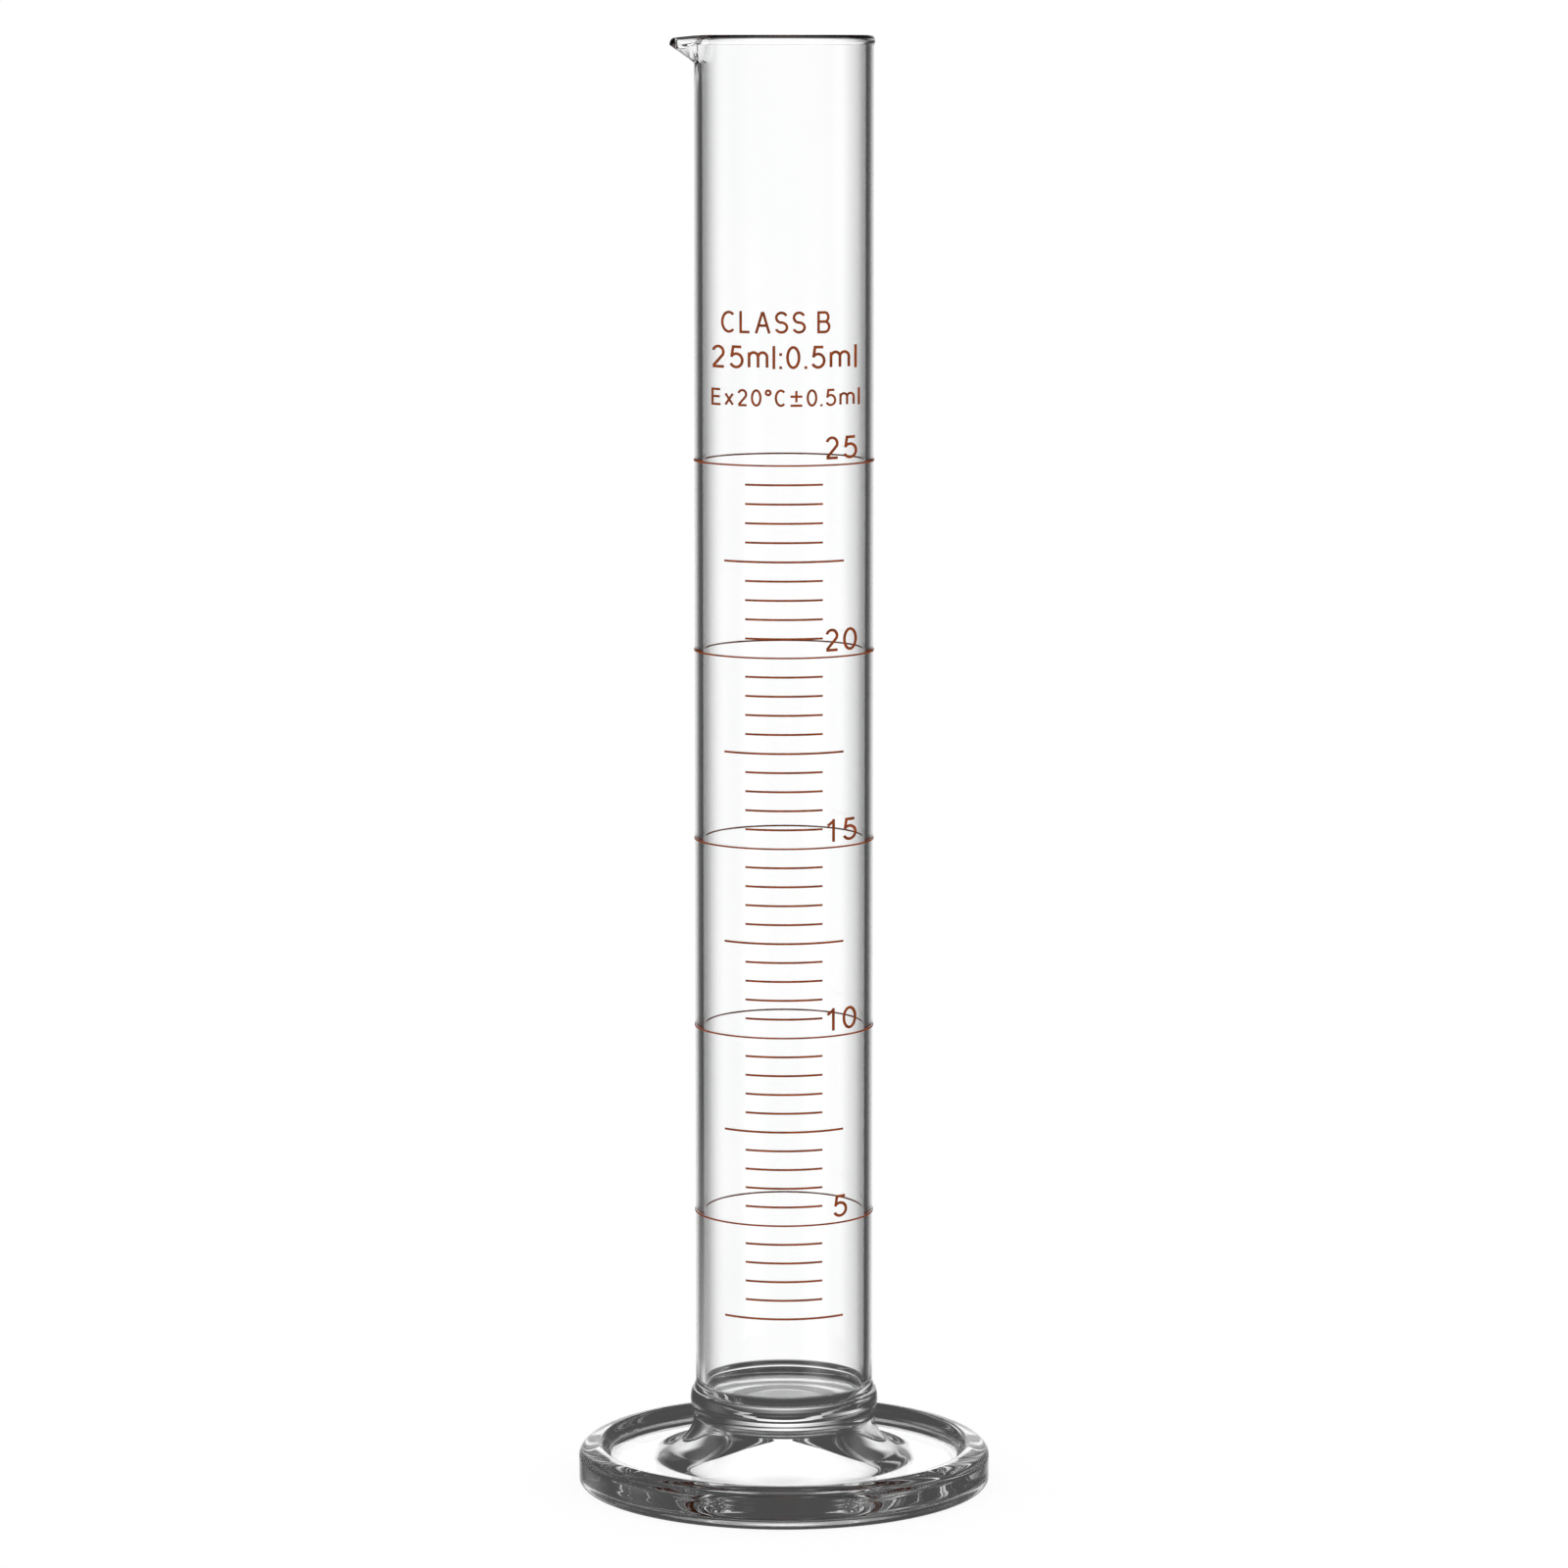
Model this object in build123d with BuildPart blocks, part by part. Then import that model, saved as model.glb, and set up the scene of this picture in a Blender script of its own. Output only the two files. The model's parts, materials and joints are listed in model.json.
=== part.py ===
from build123d import *
import math
import os

# Graduated cylinder for photographic chemicals, 25 ml in 0.5 ml steps.
# +Z is up and the origin is the centre of the foot's underside.
# The scale faces -Y and the pouring spout points to -X.  All lengths are millimetres.

# ---------------------------------------------------------------- driving dimensions
height = 158.0
tube_radius = 9.7
bore_radius = 8.8
foot_radius = 22.6

# barrel: drawn tube, closed at the bottom, with a spouted and fire-polished mouth
barrel_base_z = 8.2
bore_floor_z = 9.8
bore_corner_radius = 0.7
mouth_depth = 3.0
mouth_flare = 0.1
lip_bevel = 0.3
spout_reach = 12.25
spout_nose_radius = 1.5
spout_nose_angle = 125.0
spout_half_angle = 32.0

# seal collar: the bead of glass that welds the barrel to the foot
collar_top_z = 11.5
collar_shoulder_z = 10.5
collar_shoulder_radius = 9.9
bead_z = 9.25
bead_radius = 10.3
bead_foot_radius = 10.0
collar_chamfer = 0.2

# foot: pressed disc with a raised rim, a flat well and a flared neck
neck_waist_z = 7.5
neck_waist_radius = 9.9
neck_flare_radius = 15.0
well_z = 3.0
well_radius = 19.0
crest_z = 4.35
crest_radius = 20.3
side_top_z = 2.9
side_bottom_z = 0.6
standing_ring_outer = 22.0
standing_ring_inner = 21.2
recess_radius = 20.2                  # the underside is raised inside the standing ring
recess_z = 0.7
dome_foot_radius = 13.1               # and domed under the flare
dome_foot_pull = 3.9                  # how far the dome's curve keeps to its first direction
dome_side_radius = 6.3
dome_side_z = 6.3
dome_side_pull = 2.4                  # and to its last
dome_top_radius = 3.4
dome_top_z = 7.2

# scale
capacity_ml = 25
numbered_step_ml = 5
division_ml = 0.5
first_mark_ml = 2.5
bore_area = math.pi * bore_radius**2
mm_per_ml = 1000.0 / bore_area
scale_zero_z = bore_floor_z + 0.02    # the bore's rounded corner holds 0.006 ml less

# enamel print
ink = 0.05
ring_line = 0.18
mark_line = 0.22
short_mark = 8.3
long_mark = 12.8
numeral_height = 2.45
numeral_stroke = 0.30
numeral_centre = 6.1                  # to the right of the tube's middle
numeral_lift = 0.6                    # above the middle of its ring
sign_gap = 0.175                      # space between signs, as a part of their height
print_plane = Plane.XZ.offset(4.0)    # upright plane inside the tube, facing the reader
print_depth = 7.0

os.makedirs("parts", exist_ok=True)


def keep(part, name):
    """Label a finished piece and write it to its own file."""
    part.label = name
    export_step(part, f"parts/{name}.step")


def level(ml):
    """Height of the liquid's surface when the cylinder holds so many millilitres."""
    return scale_zero_z + ml * mm_per_ml


# ---------------------------------------------------------------- barrel
def on_circle(radius, angle, centre_x=0.0):
    """Point on a circle at an angle in degrees, and the way the circle runs there."""
    turn = math.radians(angle)
    way = Vector(-math.sin(turn), math.cos(turn))
    return Vector(centre_x + radius * math.cos(turn), radius * math.sin(turn)), way


def mouth_outline(inset):
    """Closed outline of the mouth, a circle drawn out to a rounded beak at -X, less an inset."""
    radius = tube_radius + mouth_flare - inset
    nose = spout_nose_radius - inset
    reach = spout_reach - inset
    root, root_way = on_circle(radius, 180 - spout_half_angle)
    side, side_way = on_circle(nose, spout_nose_angle, nose - reach)
    with BuildLine() as outline:
        ThreePointArc((root.X, -root.Y), (radius, 0), root)
        flank = Spline(root, side, tangents=(root_way, side_way))
        ThreePointArc(side, (-reach, 0), (side.X, -side.Y))
        mirror(flank, about=Plane.XZ)
    return outline.edges()


def tube_outline(radius):
    """The same four edges with all of them on the circle, for the tube below the spout."""
    root, _ = on_circle(radius, 180 - spout_half_angle)
    flank, _ = on_circle(radius, 180 - spout_half_angle / 2)
    side, _ = on_circle(radius, 180 - spout_half_angle / 4)
    with BuildLine() as outline:
        ThreePointArc((root.X, -root.Y), (radius, 0), root)
        ThreePointArc(root, flank, side)
        ThreePointArc(side, (-radius, 0), (side.X, -side.Y))
        ThreePointArc((side.X, -side.Y), (flank.X, -flank.Y), (root.X, -root.Y))
    return outline.edges()


spout_root_z = height - mouth_depth
lip_z = height - lip_bevel
wall = tube_radius - bore_radius

with BuildPart() as barrel:
    # outside: plain tube, then the mouth widening to the lip, then the lip's outer bevel
    with BuildSketch(Plane.XY.offset(barrel_base_z)):
        Circle(tube_radius)
    extrude(amount=spout_root_z - barrel_base_z)
    with BuildSketch(Plane.XY.offset(spout_root_z)):
        make_face(tube_outline(tube_radius))
    with BuildSketch(Plane.XY.offset(lip_z)):
        make_face(mouth_outline(0))
    with BuildSketch(Plane.XY.offset(height)):
        make_face(mouth_outline(lip_bevel))
    loft(ruled=True)
    # inside: the bore with its rounded corner, the spout's channel and the lip's inner bevel
    with BuildSketch(Plane.XY.offset(bore_floor_z)):
        Circle(bore_radius)
    extrude(amount=spout_root_z - bore_floor_z, mode=Mode.SUBTRACT)
    with BuildSketch(Plane.XY.offset(spout_root_z)):
        make_face(tube_outline(bore_radius))
    with BuildSketch(Plane.XY.offset(lip_z)):
        make_face(mouth_outline(wall))
    with BuildSketch(Plane.XY.offset(height)):
        make_face(mouth_outline(wall - lip_bevel))
    loft(ruled=True, mode=Mode.SUBTRACT)
    bore_corner = barrel.edges().filter_by_position(Axis.Z, bore_floor_z, bore_floor_z)
    fillet(bore_corner, bore_corner_radius)
keep(barrel.part, "barrel")


# ---------------------------------------------------------------- seal collar
with BuildPart() as seal_collar:
    with BuildSketch(Plane.XZ):
        with BuildLine():
            Line((tube_radius, barrel_base_z), (bead_foot_radius, barrel_base_z))
            bead = ThreePointArc(
                (bead_foot_radius, barrel_base_z),
                (bead_radius, bead_z),
                (collar_shoulder_radius, collar_shoulder_z),
            )
            Line(bead @ 1, (collar_shoulder_radius, collar_top_z - collar_chamfer))
            Line(
                (collar_shoulder_radius, collar_top_z - collar_chamfer),
                (tube_radius, collar_top_z),
            )
            Line((tube_radius, collar_top_z), (tube_radius, barrel_base_z))
        make_face()
    revolve(axis=Axis.Z)
keep(seal_collar.part, "seal_collar")


# ---------------------------------------------------------------- foot
with BuildPart() as foot:
    with BuildSketch(Plane.XZ):
        with BuildLine():
            Line((0, dome_top_z), (0, barrel_base_z))
            Line((0, barrel_base_z), (bead_foot_radius, barrel_base_z))
            Line((bead_foot_radius, barrel_base_z), (neck_waist_radius, neck_waist_z))
            EllipticalCenterArc(
                (neck_flare_radius, neck_waist_z),
                neck_flare_radius - neck_waist_radius,
                neck_waist_z - well_z,
                start_angle=180,
                arc_size=90,
            )
            Line((neck_flare_radius, well_z), (well_radius, well_z))
            Spline(
                (well_radius, well_z),
                (crest_radius, crest_z),
                tangents=((1, 0), (1, 0)),
            )
            EllipticalCenterArc(
                (crest_radius, side_top_z),
                foot_radius - crest_radius,
                crest_z - side_top_z,
                start_angle=0,
                arc_size=90,
            )
            Line((foot_radius, side_top_z), (foot_radius, side_bottom_z))
            EllipticalCenterArc(
                (standing_ring_outer, side_bottom_z),
                foot_radius - standing_ring_outer,
                side_bottom_z,
                start_angle=270,
                arc_size=90,
            )
            Line((standing_ring_outer, 0), (standing_ring_inner, 0))
            Spline(
                (standing_ring_inner, 0),
                (recess_radius, recess_z),
                tangents=((-1, 0), (-1, 0)),
            )
            Line((recess_radius, recess_z), (dome_foot_radius, recess_z))
            Bezier(
                (dome_foot_radius, recess_z),
                (dome_foot_radius - dome_foot_pull, recess_z),
                (dome_side_radius, dome_side_z - dome_side_pull),
                (dome_side_radius, dome_side_z),
            )
            EllipticalCenterArc(
                (dome_top_radius, dome_side_z),
                dome_side_radius - dome_top_radius,
                dome_top_z - dome_side_z,
                start_angle=0,
                arc_size=90,
            )
            Line((dome_top_radius, dome_top_z), (0, dome_top_z))
        make_face()
    revolve(axis=Axis.Z)
keep(foot.part, "foot")


# ---------------------------------------------------------------- graduation marks
def enamel_shell(low, high):
    """Thin sleeve of enamel on the outside of the tube, between two heights."""
    with BuildPart() as shell:
        with BuildSketch(Plane.XY.offset(low)):
            Circle(tube_radius + ink)
            Circle(tube_radius, mode=Mode.SUBTRACT)
        extrude(amount=high - low)
    return shell.part


def ring_mark(ml):
    """Line all the way round the tube."""
    return enamel_shell(level(ml) - ring_line / 2, level(ml) + ring_line / 2)


def front_marks(volumes, chord):
    """Lines across the front of the tube, one for each volume, as wide as the chord."""
    with BuildPart() as marks:
        for ml in volumes:
            with BuildSketch(Plane.XY.offset(level(ml) - mark_line / 2)):
                Circle(tube_radius + ink)
                Circle(tube_radius, mode=Mode.SUBTRACT)
                with Locations((0, -tube_radius)):
                    Rectangle(chord, tube_radius, mode=Mode.INTERSECT)
            extrude(amount=mark_line)
    return marks.part


def tag(ml):
    """A volume as it is written in a piece's name: 7.5 is 7_5."""
    return f"{ml:g}".replace(".", "_")


for full in range(numbered_step_ml, capacity_ml + 1, numbered_step_ml):
    keep(ring_mark(full), f"ring_mark_{tag(full)}ml")
    half = full - numbered_step_ml / 2
    keep(front_marks([half], long_mark), f"half_mark_{tag(half)}ml")
    steps = round(numbered_step_ml / 2 / division_ml)
    for start in (half - numbered_step_ml / 2, half):
        volumes = [start + division_ml * n for n in range(1, steps)]
        if volumes[0] > first_mark_ml:
            name = f"fine_marks_{tag(volumes[0])}_to_{tag(volumes[-1])}ml"
            keep(front_marks(volumes, short_mark), name)


# ---------------------------------------------------------------- lettering
# Each sign has a width, as a part of its height, and strokes along the middle of its lines.
# Places are parts of the sign's width and height.  A "run" is a broken line through points, and
# an "arc" is a piece of an ellipse: its centre, its radii, where it starts and how far it turns.
signs = {
    "0": (0.62, [("arc", (0.50, 0.50), (0.50, 0.50), 0, 360)]),
    "1": (
        0.62,
        [
            ("run", (0.66, -0.07), (0.66, 1.07)),
            ("run", (0.14, 0.75), (0.62, 0.96)),
        ],
    ),
    "2": (
        0.62,
        [
            ("arc", (0.49, 0.72), (0.45, 0.28), 165, -200),
            ("run", (0.87, 0.57), (0.07, 0.04)),
            ("run", (0.00, 0.00), (1.00, 0.00)),
        ],
    ),
    "5": (
        0.62,
        [
            ("run", (0.92, 1.00), (0.20, 1.00), (0.07, 0.49)),
            ("arc", (0.47, 0.33), (0.53, 0.33), 142, -295),
        ],
    ),
    "m": (
        0.90,
        [
            ("run", (0.00, 0.00), (0.00, 0.74)),
            ("arc", (0.25, 0.50), (0.25, 0.24), 180, -180),
            ("run", (0.50, 0.50), (0.50, 0.00)),
            ("arc", (0.75, 0.50), (0.25, 0.24), 180, -180),
            ("run", (1.00, 0.50), (1.00, 0.00)),
        ],
    ),
    "l": (0.12, [("run", (0.50, -0.07), (0.50, 1.07))]),
    ".": (0.12, [("run", (0.50, -0.07), (0.50, 0.07))]),
    ":": (0.12, [("run", (0.50, -0.07), (0.50, 0.07)), ("run", (0.50, 0.58), (0.50, 0.72))]),
    "x": (0.56, [("run", (0.00, 0.00), (1.00, 0.74)), ("run", (0.00, 0.74), (1.00, 0.00))]),
    "\u00b0": (0.40, [("arc", (0.50, 0.85), (0.50, 0.15), 0, 360)]),
    "\u00b1": (
        0.82,
        [
            ("run", (0.00, 0.60), (1.00, 0.60)),
            ("run", (0.50, 0.22), (0.50, 0.98)),
            ("run", (0.00, 0.00), (1.00, 0.00)),
        ],
    ),
    "A": (
        0.72,
        [
            ("run", (0.00, -0.06), (0.48, 1.04)),
            ("run", (0.52, 1.04), (1.00, -0.06)),
            ("run", (0.18, 0.34), (0.82, 0.34)),
        ],
    ),
    "B": (
        0.60,
        [
            ("run", (0.58, 1.00), (0.00, 1.00), (0.00, 0.00), (0.58, 0.00)),
            ("run", (0.00, 0.53), (0.58, 0.53)),
            ("arc", (0.58, 0.765), (0.34, 0.235), 90, -180),
            ("arc", (0.58, 0.265), (0.42, 0.265), 90, -180),
        ],
    ),
    "C": (0.66, [("arc", (0.55, 0.50), (0.55, 0.50), 48, 264)]),
    "E": (
        0.58,
        [
            ("run", (1.00, 1.00), (0.00, 1.00), (0.00, 0.00), (1.05, 0.00)),
            ("run", (0.00, 0.52), (0.95, 0.52)),
        ],
    ),
    "L": (0.52, [("run", (0.00, 1.07), (0.00, 0.00), (1.00, 0.00))]),
    "S": (
        0.62,
        [
            ("arc", (0.50, 0.75), (0.46, 0.25), 22, 248),
            ("arc", (0.50, 0.25), (0.50, 0.25), 90, -250),
        ],
    ),
    " ": (0.16, []),
}


def print_width(text, cap):
    """Width of a line of signs of the given height."""
    return cap * (sum(signs[sign][0] for sign in text) + sign_gap * (len(text) - 1))


def draw_sign(sign, left, foot_z, cap, stroke):
    """Add the strokes of one sign to the sketch, from its lower left corner."""
    width, strokes = signs[sign]
    across = width * cap - stroke
    up = cap - stroke

    def place(point):
        return (left + stroke / 2 + point[0] * across, foot_z + stroke / 2 + point[1] * up)

    for kind, *shape in strokes:
        with BuildLine() as middle:
            if kind == "run":
                Polyline(*[place(point) for point in shape])
            else:
                centre, radii, start, turn = shape
                EllipticalCenterArc(
                    place(centre), radii[0] * across, radii[1] * up, start, arc_size=turn
                )
        trace(middle.edges(), line_width=stroke)


def lettering(text, cap, stroke, left, foot_z):
    """Line of signs on the front of the tube, as high as cap, standing at foot_z."""
    with BuildPart() as letters:
        add(enamel_shell(foot_z - cap, foot_z + 2 * cap))
        with BuildSketch(print_plane):
            for sign in text:
                draw_sign(sign, left, foot_z, cap, stroke)
                left += (signs[sign][0] + sign_gap) * cap
        extrude(amount=print_depth, mode=Mode.INTERSECT)
    return letters.part


for full in range(numbered_step_ml, capacity_ml + 1, numbered_step_ml):
    text = str(full)
    left = numeral_centre - print_width(text, numeral_height) / 2
    foot_z = level(full) + numeral_lift
    numeral = lettering(text, numeral_height, numeral_stroke, left, foot_z)
    keep(numeral, f"numeral_{full}")

inscriptions = [
    # name, text, height, stroke, left edge, height of the foot of the signs
    ("class_line", "CLASS B", 2.35, 0.28, -6.70, 126.6),
    ("capacity_line", "25ml:0.5ml", 2.45, 0.30, -7.75, 122.85),
    ("tolerance_line", "Ex20\u00b0C\u00b10.5ml", 1.85, 0.25, -7.75, 118.85),
]
for name, text, cap, stroke, left, foot_z in inscriptions:
    keep(lettering(text, cap, stroke, left, foot_z), name)
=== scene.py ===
"""Looks of the graduated cylinder: three fused glass pieces and their fired enamel print.

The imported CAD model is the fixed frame.  The glass pieces are rebuilt here as dense, smooth meshes
on the CAD's own dimensions, because glass shows every facet, and each stands for its CAD node.
The enamel keeps its CAD meshes.  Lengths in this script are millimetres until a mesh is made.
"""
import json
import math

import bmesh
import bpy
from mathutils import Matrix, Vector


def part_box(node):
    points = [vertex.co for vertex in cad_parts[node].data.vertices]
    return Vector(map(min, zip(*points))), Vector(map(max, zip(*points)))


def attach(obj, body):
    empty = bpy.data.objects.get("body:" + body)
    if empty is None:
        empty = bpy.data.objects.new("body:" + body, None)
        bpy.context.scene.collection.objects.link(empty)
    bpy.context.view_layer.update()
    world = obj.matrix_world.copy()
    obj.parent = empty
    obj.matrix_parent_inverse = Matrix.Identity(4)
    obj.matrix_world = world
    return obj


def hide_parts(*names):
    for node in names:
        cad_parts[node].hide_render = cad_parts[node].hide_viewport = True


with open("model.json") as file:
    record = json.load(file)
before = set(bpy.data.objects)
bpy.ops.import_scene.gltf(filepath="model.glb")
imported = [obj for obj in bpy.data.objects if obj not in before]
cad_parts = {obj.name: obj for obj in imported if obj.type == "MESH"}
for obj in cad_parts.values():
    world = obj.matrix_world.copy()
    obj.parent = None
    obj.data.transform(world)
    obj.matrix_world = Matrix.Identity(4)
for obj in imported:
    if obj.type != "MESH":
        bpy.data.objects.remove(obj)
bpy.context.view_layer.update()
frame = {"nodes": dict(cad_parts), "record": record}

MM = 0.001


def corners_mm(node):
    """Lowest and highest corner of a CAD node, in millimetres."""
    low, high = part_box(node)
    return low / MM, high / MM


# ---------------------------------------------------------------- sizes taken from the frame
barrel_low, barrel_high = corners_mm("barrel")
_, collar_high = corners_mm("seal_collar")
_, foot_high = corners_mm("foot")
_, ring_high = corners_mm("ring_mark_5ml")
bore = next(m for m in frame["record"]["mounts"] if m["name"] == "bore")

ink = 0.05                               # thickness of the enamel
height = barrel_high.z
tube_radius = ring_high.x - ink
bore_radius = bore["dims"]["r_mm"]
wall = tube_radius - bore_radius
mouth_radius = barrel_high.x
spout_reach = -barrel_low.x
joint_z = barrel_low.z                   # where the barrel stands on the foot
collar_top_z = collar_high.z
bead_radius = collar_high.x
foot_radius = foot_high.x

# ---------------------------------------------------------------- sizes repeated from the design
columns = 360                            # steps round the axis

bore_floor_z = 9.8
bore_corner_radius = 0.7
spout_root_z = height - 3.0
spout_nose_radius = 1.5
spout_nose_angle = 125.0
spout_half_angle = 32.0
spout_crease = 0.35                      # how softly the beak's sides leave the round lip
beak_lead = 4                            # how soon the beak leans out ahead of the lip's swell
lip_swell_height = 1.0
lip_radius = 0.5
lip_rise = 0.8
lip_proud = 0.02                         # how far the lip stands out from the mouth's outline
spout_droop = 0.3                        # how far the fire-polished tip hangs below the rim

bead_z = 9.25
bead_foot_radius = 10.0
collar_shoulder_z = 10.5
collar_shoulder_radius = 9.9
collar_top_way = (0, 1.0)                # the collar's top thins out along the tube

neck_waist_z = 7.5
neck_waist_radius = 9.9
neck_flare_radius = 15.0
well_z = 3.0
well_radius = 19.0
crest_z = 4.35
crest_radius = 20.3
side_top_z = 2.9
side_bottom_z = 0.6
standing_ring_outer = 22.0
standing_ring_inner = 21.2
recess_radius = 20.2                     # the underside is raised inside the standing ring
recess_z = 0.7
dome_foot_radius = 13.1                  # and domed under the flare
dome_foot_way = (-11.7, 0)
dome_side_radius = 6.3
dome_side_z = 6.3
dome_side_way = (0, 7.2)
dome_top_radius = 3.4
dome_top_z = 7.2

# steps along the profiles
seat_steps = 2                           # the narrow ring where the collar sits on the foot
disc_steps = 3                           # flat discs and rings
wall_steps = 4                           # short straight walls
pole_steps = 6                           # from a flat's edge to the axis
corner_steps = 10                        # small quarter rounds
recess_steps = 12
shoulder_steps = 12
blend_steps = 16                         # the collar's top
rise_steps = 16                          # from the well to the rim
crest_steps = 20
sweep_steps = 32                         # the neck's flare and the dome's side
tube_steps = 40
mouth_steps = 20
lip_steps = 14
sharp_angle = 32.0                       # edges sharper than this stay crisp
axis_radius = 1e-9                       # a point nearer than this is on the axis

# ---------------------------------------------------------------- looks
# colours are linear, depths are metres, grains are how many in a metre
GLASS, BOND = 0, 1                       # places of the two materials in each glass piece
glass_ior = 1.5
glass_cast = (0.984, 0.989, 0.987)
clear = (1, 1, 1)
cast_grains = 60
glass_haze = 0.012
haze_grains = 220
haze_stretch = (1, 1, 0.3)
fine_grains = 1600
wave_distortion = 0.4
enamel_thin = (0.30, 0.056, 0.007)
enamel_thick = (0.19, 0.034, 0.004)
enamel_patches = 900
enamel_grains = 6000
enamel_grain_depth = 0.000006
enamel_roughness = (0.34, 0.56)
enamel_gloss = 0.15
noise_range = (0.3, 0.7)                 # part of the noise's swing that a number follows
colour_range = (0.35, 0.65)              # and that a colour follows

# studio: soft white panels, each an azimuth, a half width, a lowest and a highest, in degrees.
# Each stands behind the object for some of the views that it is rendered from.  From the other
# sides, such as the back and the top, the glass has only the dark studio behind it and looks dark.
panels = [
    (90, 16, -20, 18),
    (135, 12, -36, -14),
    (315, 12, -26, -4),
    (180, 12, -14, 9),
]
side_softness = 15.0
rise_softness = 4.0
studio_dark = 0.07
studio_white = 1.15

floor_radius = 3.0
floor_sides = 96
floor_drop = 0.00005                     # metres below the foot
floor_paper = (0.9, 0.9, 0.9, 1)
floor_glow = 1.05
floor_glow_share = 0.8

camera_lens = 133.0
camera_film = 36.0
camera_near = 0.01
camera_place = (0, -0.6241, 0.158)
camera_tilt = 7.37                       # degrees below level
light_bounces = 40                       # enough to cross every glass skin
clear_bounces = 60


# ---------------------------------------------------------------- curves
def polar(radius, angle):
    """Point on a circle round the axis, at an angle in degrees."""
    turn = math.radians(angle)
    return Vector((radius * math.cos(turn), radius * math.sin(turn)))


def ellipse(centre, radii, start, turn, steps):
    """Points along a piece of an ellipse, both ends included.  Angles are in degrees."""
    angles = [math.radians(start + turn * n / steps) for n in range(steps + 1)]
    return [
        Vector((centre[0] + radii[0] * math.cos(a), centre[1] + radii[1] * math.sin(a)))
        for a in angles
    ]


def hermite(start, start_way, end, end_way, share):
    """Point on a smooth curve between two points, each left or reached along its way."""
    s = share
    return (
        start * (2 * s**3 - 3 * s**2 + 1)
        + start_way * (s**3 - 2 * s**2 + s)
        + end * (3 * s**2 - 2 * s**3)
        + end_way * (s**3 - s**2)
    )


def bend(start, start_way, end, end_way, steps):
    """Points of a smooth curve after its start, which leaves and arrives along the two ways."""
    ends = [Vector(p) for p in (start, start_way, end, end_way)]
    return [hermite(*ends, n / steps) for n in range(1, steps + 1)]


def wave(start, end, steps):
    """Points of a curve that leaves and arrives level, both ends included."""
    reach = Vector((end[0] - start[0], 0))
    return [
        hermite(Vector(start), reach, Vector(end), reach, n / steps) for n in range(steps + 1)
    ]


def straight(start, end, steps):
    """Points along a straight line, both ends included."""
    return [Vector(start).lerp(Vector(end), n / steps) for n in range(steps + 1)]


# ---------------------------------------------------------------- meshes
def round_the_axis(point):
    """A profile's point turned into a row of points round the axis, or into the pole on it."""
    radius, z = point
    if radius < axis_radius:
        return [Vector((0, 0, z))]
    return [polar(radius, 360 * n / columns).to_3d() + Vector((0, 0, z)) for n in range(columns)]


def skin(name, bands, materials, ring=False):
    """Closed mesh from bands of rows round the axis.

    Each band is (material's place, its rows from the last band's end onwards).  A row of one point
    closes the mesh at the axis.  With ring, the last row is joined to the first one.
    """
    mesh = bpy.data.meshes.new(name)
    build = bmesh.new()
    rows = []
    band_of_gap = []
    for place, band in bands:
        for row in band:
            rows.append([build.verts.new(point * MM) for point in row])
            band_of_gap.append(place)
    gaps = list(zip(rows, rows[1:], band_of_gap[1:]))
    if ring:
        gaps.append((rows[-1], rows[0], band_of_gap[0]))
    for low, high, place in gaps:
        for n in range(columns):
            after = (n + 1) % columns
            if len(low) == 1:
                corners = (low[0], high[after], high[n])
            elif len(high) == 1:
                corners = (low[n], low[after], high[0])
            else:
                corners = (low[n], low[after], high[after], high[n])
            face = build.faces.new(corners)
            face.material_index = place
            face.smooth = True
    bmesh.ops.recalc_face_normals(build, faces=build.faces)
    build.to_mesh(mesh)
    build.free()
    mesh.set_sharp_from_angle(angle=math.radians(sharp_angle))
    for material in materials:
        mesh.materials.append(material)
    piece = bpy.data.objects.new(name, mesh)
    bpy.context.scene.collection.objects.link(piece)
    return piece


# ---------------------------------------------------------------- barrel
def mouth_point(inset, angle):
    """Where the mouth's outline, less an inset, passes for a column at this angle."""
    radius = mouth_radius - inset
    nose = spout_nose_radius - inset
    reach = spout_reach - inset
    off = abs(angle - 180)                               # angle away from the spout's middle
    half = spout_half_angle
    if off >= half:
        return polar(radius, angle)
    side = 1 if angle < 180 else -1
    nose_half = 180 - spout_nose_angle
    quarter = half / 4
    if off <= quarter:
        turn = 180 - side * nose_half * off / quarter
        return Vector((nose - reach, 0)) + polar(nose, turn)
    root = polar(radius, 180 - side * half)
    root_way = polar(1, 180 - side * half + side * 90)
    tip = Vector((nose - reach, 0)) + polar(nose, 180 - side * nose_half)
    tip_way = polar(1, 180 - side * nose_half + side * 90)
    span = (tip - root).length
    crease = spout_crease * span
    return hermite(root, root_way * crease, tip, tip_way * span, (half - off) / (half - quarter))


def lip_swell(z):
    """How far the lip has thickened at height z, from 0 on the tube to 1 at its fullest."""
    rise = (z - height + lip_swell_height) / (lip_swell_height - lip_rise)
    rise = min(1.0, max(0.0, rise))
    return rise * rise * (3 - 2 * rise)


def mouth_row(low_radius, inset, z, share):
    """Row at height z, a share of the way from the round tube to the mouth's outline.

    The beak leans out all the way up, and the round of the lip swells only near its top.
    """
    swell = lip_swell(z)
    row = []
    for n in range(columns):
        angle = 360 * n / columns
        lip = mouth_point(inset, angle)
        out = max(0.0, (lip.length - mouth_radius + inset) / (spout_reach - mouth_radius))
        lean = swell + (share - swell) * min(1.0, beak_lead * out)
        point = polar(low_radius, angle).lerp(lip, lean)
        row.append(Vector((point.x, point.y, z - spout_droop * out * share)))
    return row


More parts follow.
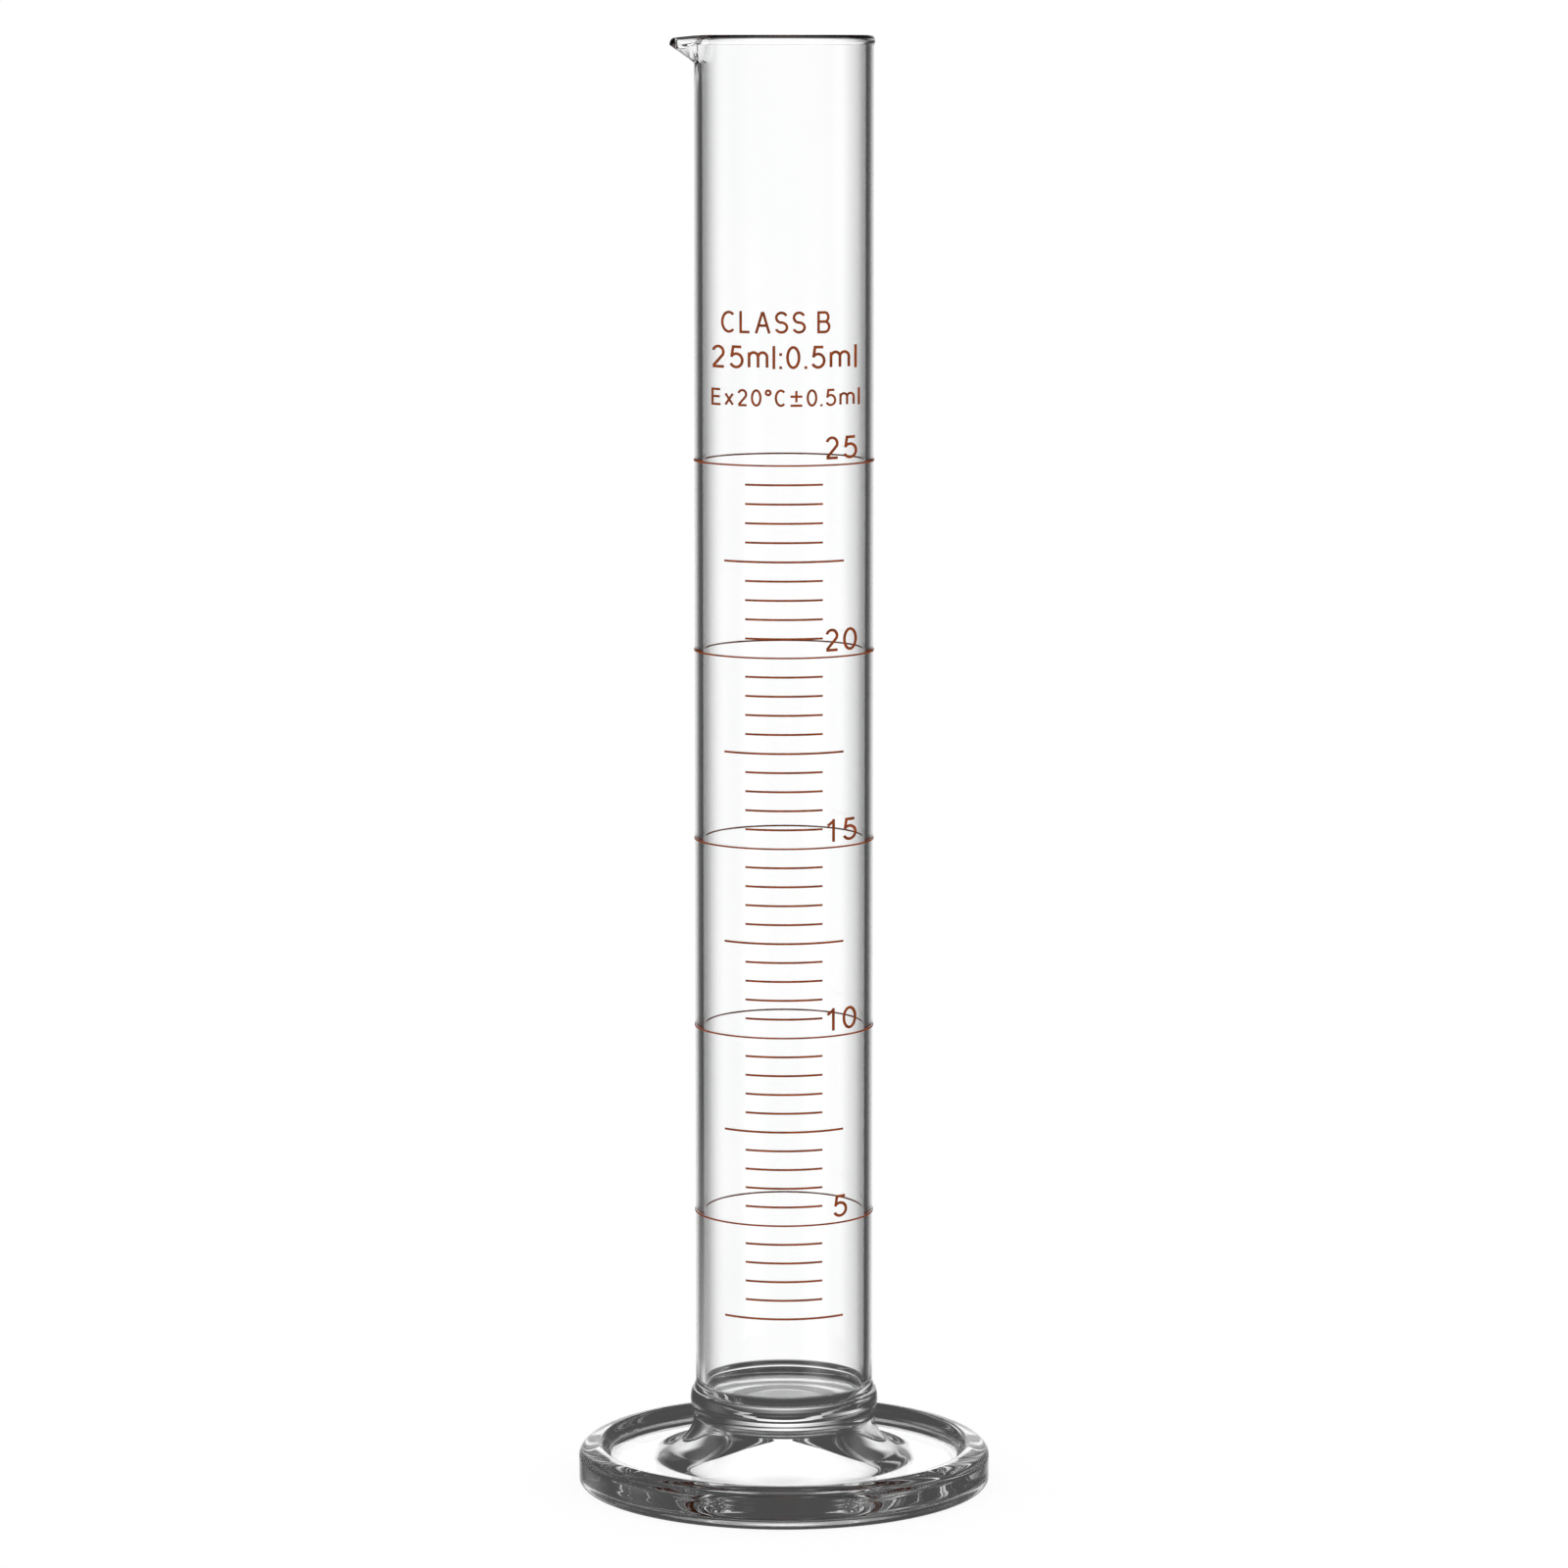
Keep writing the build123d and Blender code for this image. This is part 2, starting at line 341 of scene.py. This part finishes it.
def barrel_rows():
    """The barrel's rows from the middle of its underside, up outside and down the bore."""
    lip_z = height - lip_rise
    fused = straight((0, joint_z), (tube_radius, joint_z), disc_steps)
    fused += straight((tube_radius, joint_z), (tube_radius, collar_top_z), wall_steps)[1:]
    bond = [round_the_axis(p) for p in fused]
    tube = straight((tube_radius, collar_top_z), (tube_radius, spout_root_z), tube_steps)[1:]
    outside = [round_the_axis(p) for p in tube]
    shares = [n / mouth_steps for n in range(mouth_steps + 1)]
    levels = [spout_root_z + (lip_z - spout_root_z) * share for share in shares]
    rises = list(zip(levels, shares))
    for z, share in rises[1:]:
        outside.append(mouth_row(tube_radius, -lip_proud * lip_swell(z), z, share))
    for n in range(1, lip_steps):
        turn = math.pi * n / lip_steps
        inset = lip_radius * (1 - math.cos(turn)) - lip_proud
        outside.append(mouth_row(tube_radius, inset, lip_z + lip_rise * math.sin(turn), 1))
    fold = 2 * lip_radius - lip_proud - wall
    for z, share in reversed(rises):
        outside.append(mouth_row(bore_radius, wall + fold * lip_swell(z), z, share))
    corner_z = bore_floor_z + bore_corner_radius
    corner_r = bore_radius - bore_corner_radius
    corner = ellipse((corner_r, corner_z), (bore_corner_radius,) * 2, 0, -90, corner_steps)
    inside = straight((bore_radius, spout_root_z), (bore_radius, corner_z), tube_steps)[1:]
    inside += corner[1:]
    inside += straight((corner_r, bore_floor_z), (0, bore_floor_z), pole_steps)[1:]
    outside += [round_the_axis(p) for p in inside]
    return [(BOND, bond), (GLASS, outside)]


# ---------------------------------------------------------------- seal collar
def collar_rows():
    """The collar's rows from its inner foot, along its underside and up over the bead."""
    under = straight((tube_radius, joint_z), (bead_foot_radius, joint_z), seat_steps)
    lower = ellipse(
        (bead_foot_radius, bead_z),
        (bead_radius - bead_foot_radius, bead_z - joint_z),
        -90,
        90,
        corner_steps,
    )
    upper = ellipse(
        (collar_shoulder_radius, bead_z),
        (bead_radius - collar_shoulder_radius, collar_shoulder_z - bead_z),
        0,
        90,
        shoulder_steps,
    )
    top = bend(
        (collar_shoulder_radius, collar_shoulder_z),
        collar_top_way,
        (tube_radius, collar_top_z),
        collar_top_way,
        blend_steps,
    )
    inner = straight((tube_radius, collar_top_z), (tube_radius, joint_z), wall_steps)
    glass = lower[1:] + upper[1:] + top
    return [
        (BOND, [round_the_axis(p) for p in under]),
        (GLASS, [round_the_axis(p) for p in glass]),
        (BOND, [round_the_axis(p) for p in inner[1:-1]]),
    ]


# ---------------------------------------------------------------- foot
def foot_rows():
    """The foot's rows from the middle of its top, out over the rim and back under it."""
    top = straight((0, joint_z), (tube_radius, joint_z), disc_steps)
    top += straight((tube_radius, joint_z), (bead_foot_radius, joint_z), seat_steps)[1:]
    waist = (neck_waist_radius, neck_waist_z)
    neck = straight((bead_foot_radius, joint_z), waist, wall_steps)[1:]
    neck += ellipse(
        (neck_flare_radius, neck_waist_z),
        (neck_flare_radius - neck_waist_radius, neck_waist_z - well_z),
        180,
        90,
        sweep_steps,
    )[1:]
    well = straight((neck_flare_radius, well_z), (well_radius, well_z), wall_steps)[1:]
    rim = wave((well_radius, well_z), (crest_radius, crest_z), rise_steps)[1:]
    rim += ellipse(
        (crest_radius, side_top_z),
        (foot_radius - crest_radius, crest_z - side_top_z),
        90,
        -90,
        crest_steps,
    )[1:]
    rim += straight((foot_radius, side_top_z), (foot_radius, side_bottom_z), wall_steps)[1:]
    rim += ellipse(
        (standing_ring_outer, side_bottom_z),
        (foot_radius - standing_ring_outer, side_bottom_z),
        0,
        -90,
        corner_steps,
    )[1:]
    under = straight((standing_ring_outer, 0), (standing_ring_inner, 0), disc_steps)[1:]
    under += wave((standing_ring_inner, 0), (recess_radius, recess_z), recess_steps)[1:]
    under += straight((recess_radius, recess_z), (dome_foot_radius, recess_z), disc_steps)[1:]
    under += bend(
        (dome_foot_radius, recess_z),
        dome_foot_way,
        (dome_side_radius, dome_side_z),
        dome_side_way,
        sweep_steps,
    )
    under += ellipse(
        (dome_top_radius, dome_side_z),
        (dome_side_radius - dome_top_radius, dome_top_z - dome_side_z),
        0,
        90,
        corner_steps,
    )[1:]
    under += straight((dome_top_radius, dome_top_z), (0, dome_top_z), pole_steps)[1:]
    return [
        (BOND, [round_the_axis(p) for p in top]),
        (GLASS, [round_the_axis(p) for p in neck + well + rim + under]),
    ]


# ---------------------------------------------------------------- materials
def node_material(name):
    """New material with an empty node tree and its output node."""
    material = bpy.data.materials.new(name)
    material.use_nodes = True
    tree = material.node_tree
    tree.nodes.clear()
    output = tree.nodes.new("ShaderNodeOutputMaterial")
    return material, tree, output


def noise(tree, scale, stretch=(1, 1, 1), detail=2.0, distortion=0.0):
    """Noise fixed to the object, with its grains per metre and how it is stretched."""
    place = tree.nodes.new("ShaderNodeTexCoord")
    mapping = tree.nodes.new("ShaderNodeMapping")
    mapping.inputs["Scale"].default_value = stretch
    texture = tree.nodes.new("ShaderNodeTexNoise")
    texture.inputs["Scale"].default_value = scale
    texture.inputs["Detail"].default_value = detail
    texture.inputs["Distortion"].default_value = distortion
    tree.links.new(place.outputs["Object"], mapping.inputs["Vector"])
    tree.links.new(mapping.outputs["Vector"], texture.inputs["Vector"])
    return texture.outputs["Fac"]


def bump(tree, relief, depth, below=None):
    """Normal roughened by a relief, whose full swing is a depth in metres."""
    node = tree.nodes.new("ShaderNodeBump")
    node.inputs["Distance"].default_value = depth
    tree.links.new(relief, node.inputs["Height"])
    if below is not None:
        tree.links.new(below, node.inputs["Normal"])
    return node.outputs["Normal"]


def spread(tree, value, low, high):
    """Noise remapped to a range of one number."""
    node = tree.nodes.new("ShaderNodeMapRange")
    node.inputs["From Min"].default_value = noise_range[0]
    node.inputs["From Max"].default_value = noise_range[1]
    node.inputs["To Min"].default_value = low
    node.inputs["To Max"].default_value = high
    tree.links.new(value, node.inputs["Value"])
    return node.outputs["Result"]


def tint(tree, value, low, high):
    """Noise remapped to a range of colour."""
    ramp = tree.nodes.new("ShaderNodeValToRGB")
    ends = ramp.color_ramp.elements
    for end, position, colour in zip(ends, colour_range, (low, high)):
        end.position = position
        end.color = (*colour, 1)
    tree.links.new(value, ramp.inputs["Fac"])
    return ramp.outputs["Color"]


def clear_glass(name, waves, wave_stretch, wave_depth, grain_depth):
    """Clear glass whose skin has the long waves of its making and a finer unevenness."""
    material, tree, output = node_material(name)
    shader = tree.nodes.new("ShaderNodeBsdfPrincipled")
    shader.inputs["IOR"].default_value = glass_ior
    shader.inputs["Transmission Weight"].default_value = 1.0
    cast = noise(tree, cast_grains, detail=1.0)
    tree.links.new(tint(tree, cast, glass_cast, clear), shader.inputs["Base Color"])
    haze = noise(tree, haze_grains, haze_stretch, detail=3.0)
    tree.links.new(spread(tree, haze, 0.0, glass_haze), shader.inputs["Roughness"])
    grain = bump(tree, noise(tree, fine_grains), grain_depth)
    swell = noise(tree, waves, wave_stretch, detail=1.0, distortion=wave_distortion)
    tree.links.new(bump(tree, swell, wave_depth, grain), shader.inputs["Normal"])
    tree.links.new(shader.outputs[0], output.inputs["Surface"])
    return material


def glass_bond():
    """Faces where two glass pieces are fused: light passes them as if they weren't there."""
    material, tree, output = node_material("fused_glass_joint")
    shader = tree.nodes.new("ShaderNodeBsdfTransparent")
    tree.links.new(shader.outputs[0], output.inputs["Surface"])
    return material


def brown_enamel():
    """Fired amber-brown ceramic ink: grainy, with a satin skin and a slightly uneven depth."""
    material, tree, output = node_material("brown_enamel")
    shader = tree.nodes.new("ShaderNodeBsdfPrincipled")
    patches = noise(tree, enamel_patches, detail=3.0)
    tree.links.new(tint(tree, patches, enamel_thin, enamel_thick), shader.inputs["Base Color"])
    grain = noise(tree, enamel_grains)
    tree.links.new(spread(tree, grain, *enamel_roughness), shader.inputs["Roughness"])
    tree.links.new(bump(tree, grain, enamel_grain_depth), shader.inputs["Normal"])
    shader.inputs["Specular IOR Level"].default_value = enamel_gloss
    tree.links.new(shader.outputs[0], output.inputs["Surface"])
    return material


# ---------------------------------------------------------------- studio
def math_node(tree, kind, first, second=None):
    """Result of a math node, whose inputs are numbers or other nodes' outputs."""
    node = tree.nodes.new("ShaderNodeMath")
    node.operation = kind
    for socket, value in zip(node.inputs, (first, second)):
        if isinstance(value, (int, float)):
            socket.default_value = value
        elif value is not None:
            tree.links.new(value, socket)
    return node.outputs[0]


def soft_step(tree, value, edge, softness):
    """0 well below the edge and 1 well above it, with a smooth slope between."""
    node = tree.nodes.new("ShaderNodeMapRange")
    node.interpolation_type = "SMOOTHSTEP"
    tree.links.new(value, node.inputs["Value"])
    node.inputs["From Min"].default_value = edge - softness
    node.inputs["From Max"].default_value = edge + softness
    return node.outputs["Result"]


def in_plane(tree, x, y, way):
    """How far a direction's level part reaches along a way."""
    return math_node(
        tree,
        "ADD",
        math_node(tree, "MULTIPLY", x, way[0]),
        math_node(tree, "MULTIPLY", y, way[1]),
    )


def studio_world():
    """Dark studio with soft white panels for the glass.

    The camera itself and matt surfaces, also those seen through glass, get a plain white world.
    """
    degrees = 180 / math.pi
    world = bpy.data.worlds.new("studio")
    world.use_nodes = True
    tree = world.node_tree
    tree.nodes.clear()
    place = tree.nodes.new("ShaderNodeTexCoord")
    split = tree.nodes.new("ShaderNodeSeparateXYZ")
    tree.links.new(place.outputs["Generated"], split.inputs[0])
    x, y, z = split.outputs
    flat = math_node(tree, "SQRT", in_plane(tree, x, y, (x, y)))
    rise = math_node(tree, "MULTIPLY", math_node(tree, "ARCSINE", z), degrees)
    fall = math_node(tree, "MULTIPLY", rise, -1)
    white = None
    for azimuth, half, lowest, highest in panels:
        cosine = math_node(tree, "DIVIDE", in_plane(tree, x, y, polar(1, azimuth)), flat)
        near = math_node(tree, "MULTIPLY", math_node(tree, "ARCCOSINE", cosine), -degrees)
        mask = soft_step(tree, near, -half, side_softness)
        for tilt, edge in ((rise, lowest), (fall, -highest)):
            mask = math_node(tree, "MULTIPLY", mask, soft_step(tree, tilt, edge, rise_softness))
        white = mask if white is None else math_node(tree, "MAXIMUM", white, mask)
    seen = tree.nodes.new("ShaderNodeMapRange")
    tree.links.new(white, seen.inputs["Value"])
    seen.inputs["To Min"].default_value = studio_dark
    seen.inputs["To Max"].default_value = studio_white
    rays = tree.nodes.new("ShaderNodeLightPath")
    matt = math_node(tree, "MINIMUM", rays.outputs["Diffuse Depth"], 1)
    plain = math_node(tree, "MAXIMUM", rays.outputs["Is Camera Ray"], matt)
    background = tree.nodes.new("ShaderNodeBackground")
    background.inputs["Color"].default_value = (1, 1, 1, 1)
    strength = math_node(tree, "MAXIMUM", seen.outputs["Result"], plain)
    tree.links.new(strength, background.inputs["Strength"])
    output = tree.nodes.new("ShaderNodeOutputWorld")
    tree.links.new(background.outputs[0], output.inputs["Surface"])
    bpy.context.scene.world = world


def floor():
    """Pale floor, which glows so that no hard shadow falls on it.  The glass doesn't see it."""
    material, tree, output = node_material("pale_floor")
    paper = tree.nodes.new("ShaderNodeBsdfDiffuse")
    paper.inputs["Color"].default_value = floor_paper
    glow = tree.nodes.new("ShaderNodeEmission")
    glow.inputs["Strength"].default_value = floor_glow
    mix = tree.nodes.new("ShaderNodeMixShader")
    mix.inputs["Fac"].default_value = floor_glow_share
    tree.links.new(paper.outputs[0], mix.inputs[1])
    tree.links.new(glow.outputs[0], mix.inputs[2])
    tree.links.new(mix.outputs[0], output.inputs["Surface"])
    mesh = bpy.data.meshes.new("floor")
    build = bmesh.new()
    bmesh.ops.create_circle(build, cap_ends=True, segments=floor_sides, radius=floor_radius)
    build.to_mesh(mesh)
    build.free()
    mesh.materials.append(material)
    piece = bpy.data.objects.new("floor", mesh)
    piece.location.z = -floor_drop
    bpy.context.scene.collection.objects.link(piece)
    piece.visible_transmission = False
    piece.visible_glossy = False


def camera():
    """Camera at the photograph's viewing angle: level with the rim, looking a little down."""
    data = bpy.data.cameras.new("camera")
    data.lens = camera_lens
    data.sensor_width = camera_film
    data.clip_start = camera_near
    piece = bpy.data.objects.new("camera", data)
    piece.location = camera_place
    piece.rotation_euler = (math.radians(90 - camera_tilt), 0, 0)
    bpy.context.scene.collection.objects.link(piece)
    bpy.context.scene.camera = piece


# ---------------------------------------------------------------- assembly
scene = bpy.context.scene
scene.view_settings.view_transform = "Standard"
scene.cycles.max_bounces = light_bounces
scene.cycles.transmission_bounces = light_bounces
scene.cycles.glossy_bounces = light_bounces
scene.cycles.transparent_max_bounces = clear_bounces

bond = glass_bond()
glass_pieces = {
    # node: its rows, whether they close in a ring, and the skin's waves: how many in a metre,
    # how they are stretched, how deep they are, and how deep the finer grain is
    "barrel": (barrel_rows, False, (260, (1, 1, 0.06), 0.000004, 0.0000002)),
    "seal_collar": (collar_rows, True, (260, (0.12, 0.12, 8), 0.00002, 0.0000004)),
    "foot": (foot_rows, False, (200, (1, 1, 1.3), 0.00001, 0.0000001)),
}
for node, (rows, ring, skin_waves) in glass_pieces.items():
    glass = clear_glass(f"{node}_glass", *skin_waves)
    piece = skin(f"{node}_glass", rows(), [glass, bond], ring)
    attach(piece, "root")
    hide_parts(node)

enamel = brown_enamel()
for name, node in frame["nodes"].items():
    if name not in glass_pieces:
        node.data.materials.clear()
        node.data.materials.append(enamel)

studio_world()
floor()
camera()
